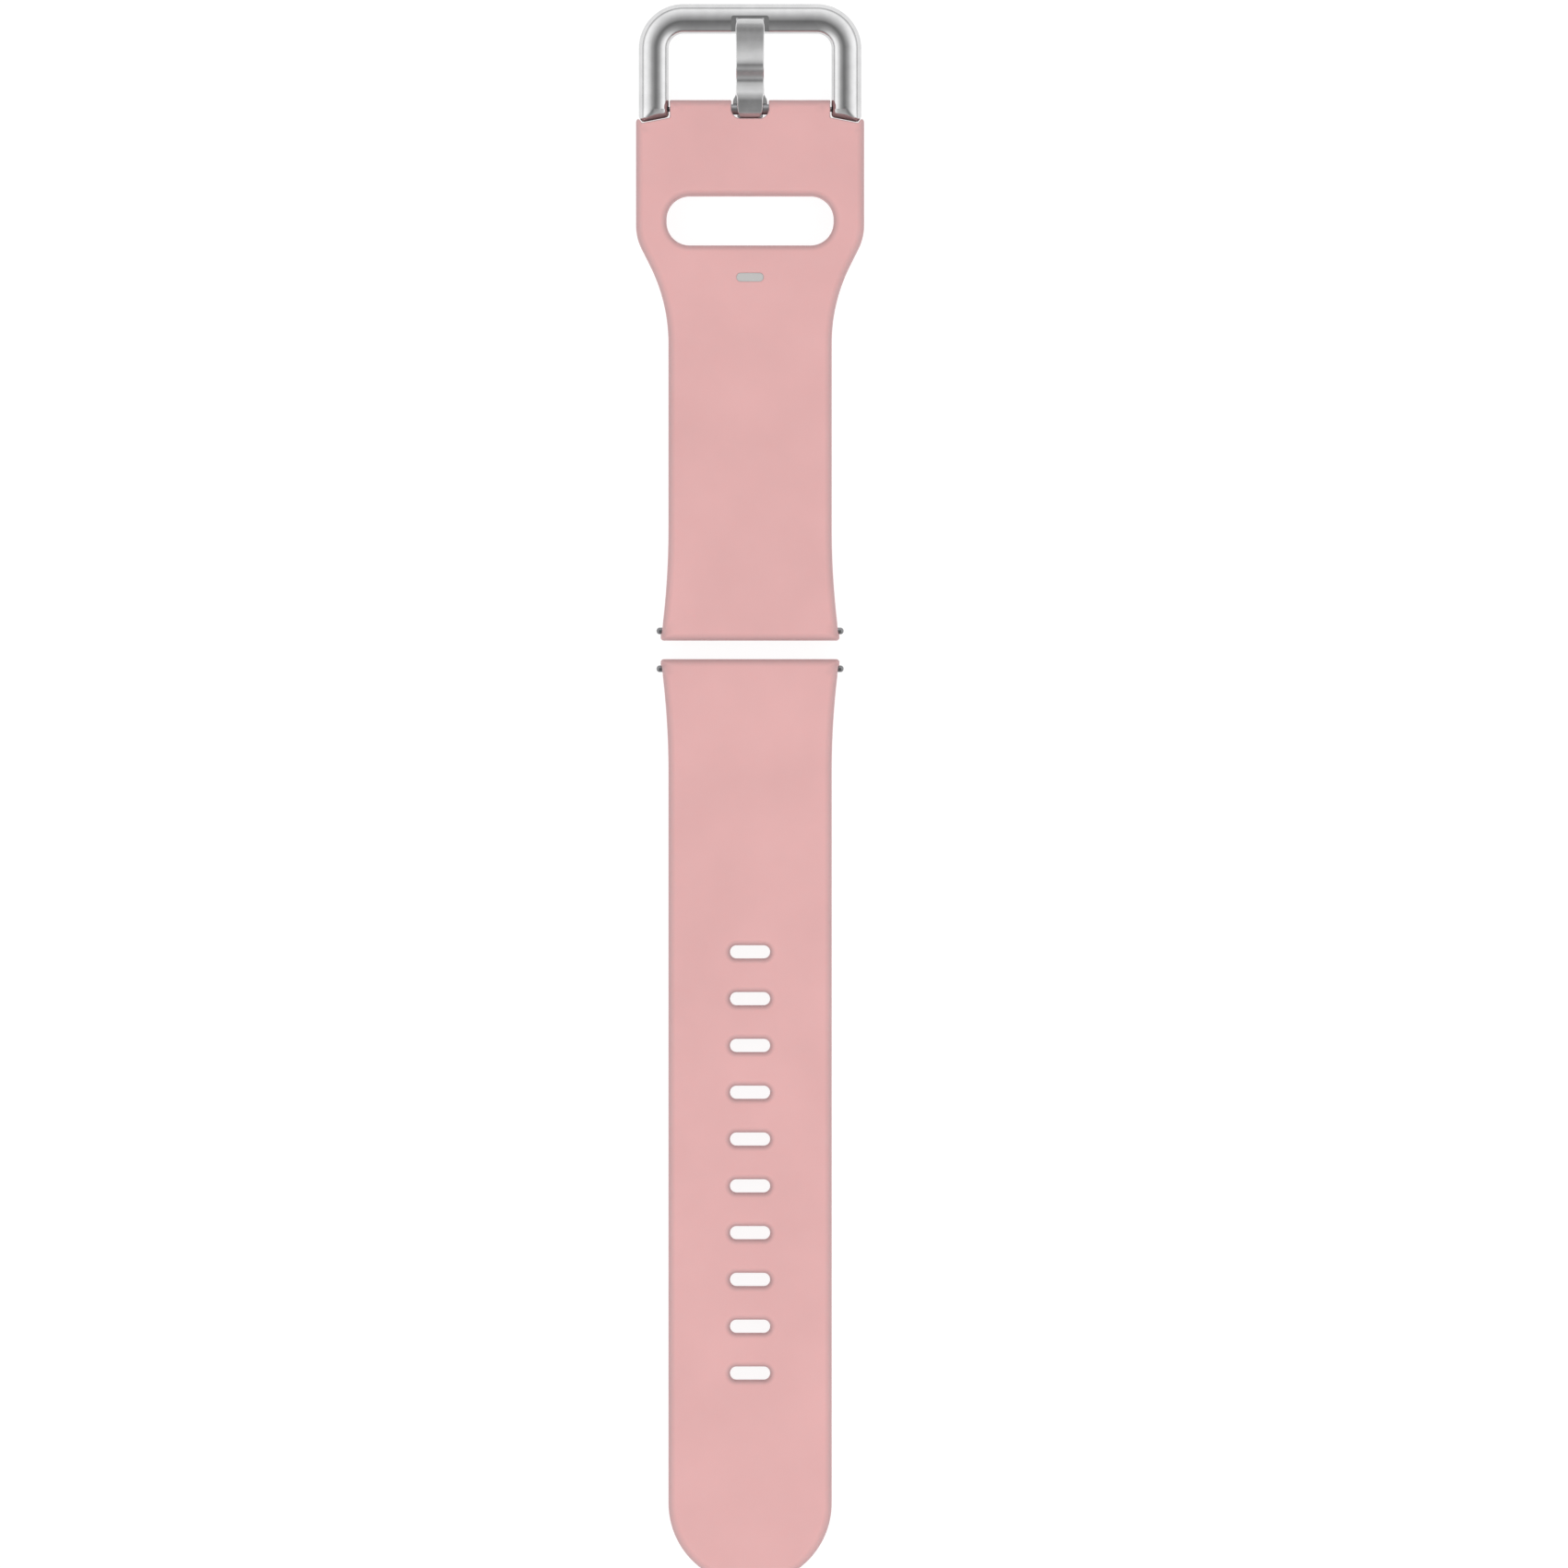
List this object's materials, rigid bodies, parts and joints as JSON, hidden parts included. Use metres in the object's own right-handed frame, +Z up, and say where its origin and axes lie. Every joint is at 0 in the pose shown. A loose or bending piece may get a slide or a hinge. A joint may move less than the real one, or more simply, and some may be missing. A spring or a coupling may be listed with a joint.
{
  "type": "fitness tracker band",
  "caption": "Two-piece soft silicone wrist band with a polished bar buckle and tongue, a tuck slot, a row of size slots and quick-release spring bars.",
  "frame": {"origin": "middle of the whole band's outline, on the plane that its underside rests on", "axes": "+X across the band, +Y along it towards the buckle, +Z up, away from the wrist"},
  "size_m": [0.0252, 0.1756, 0.0032],
  "materials": {
    "silicone": "matte",
    "polished_steel": "polished",
    "satin_steel": "satin",
    "tube_steel": "satin",
    "pin_steel": "satin",
    "spring_steel": "satin"
  },
  "bodies": {
    "buckle_half": {"buckle_strap": "silicone", "buckle_bar_tube": "tube_steel", "buckle_bar_spring": "spring_steel", "upper_lug_bar_tube": "tube_steel", "upper_lug_bar_fixed_tip": "pin_steel", "upper_lug_bar_spring": "spring_steel"},
    "tail_half": {"hole_strap": "silicone", "lower_lug_bar_tube": "tube_steel", "lower_lug_bar_fixed_tip": "pin_steel", "lower_lug_bar_spring": "spring_steel"},
    "buckle": {"buckle_frame": "polished_steel"},
    "tongue": {"buckle_tongue": "satin_steel"},
    "upper_release": {"upper_lug_bar_plunger": "pin_steel", "upper_lug_release_knob": "pin_steel"},
    "lower_release": {"lower_lug_bar_plunger": "pin_steel", "lower_lug_release_knob": "pin_steel"},
    "buckle_pin_left": {"buckle_bar_left_plunger": "pin_steel"},
    "buckle_pin_right": {"buckle_bar_right_plunger": "pin_steel"}
  },
  "joints": [
    {"name": "case_gap", "type": "slide", "parent": "buckle_half", "child": "tail_half", "axis": [0, -1, 0], "range_m": [0, 0.045]},
    {"name": "buckle_pivot", "type": "hinge", "parent": "buckle_half", "child": "buckle", "pos_m": [0, 0.0761, 0.0014], "axis": [1, 0, 0], "range_deg": [-60, 20]},
    {"name": "tongue_pivot", "type": "hinge", "parent": "buckle", "child": "tongue", "pos_m": [0, 0.0761, 0.0014], "axis": [1, 0, 0], "range_deg": [0, 70]},
    {"name": "upper_release_slide", "type": "slide", "parent": "buckle_half", "child": "upper_release", "axis": [-1, 0, 0], "range_m": [0, 0.001], "stiffness_N_per_m": 250, "springref_m": -0.0012, "deforming": ["upper_lug_bar_spring"]},
    {"name": "lower_release_slide", "type": "slide", "parent": "tail_half", "child": "lower_release", "axis": [-1, 0, 0], "range_m": [0, 0.001], "stiffness_N_per_m": 250, "springref_m": -0.0012, "deforming": ["lower_lug_bar_spring"]},
    {"name": "buckle_pin_left_slide", "type": "slide", "parent": "buckle_half", "child": "buckle_pin_left", "axis": [1, 0, 0], "range_m": [0, 0.00125], "stiffness_N_per_m": 250, "springref_m": -0.0012, "deforming": ["buckle_bar_spring"]},
    {"name": "buckle_pin_right_slide", "type": "slide", "parent": "buckle_half", "child": "buckle_pin_right", "axis": [-1, 0, 0], "range_m": [0, 0.00125], "stiffness_N_per_m": 250, "springref_m": -0.0012, "deforming": ["buckle_bar_spring"]}
  ]
}
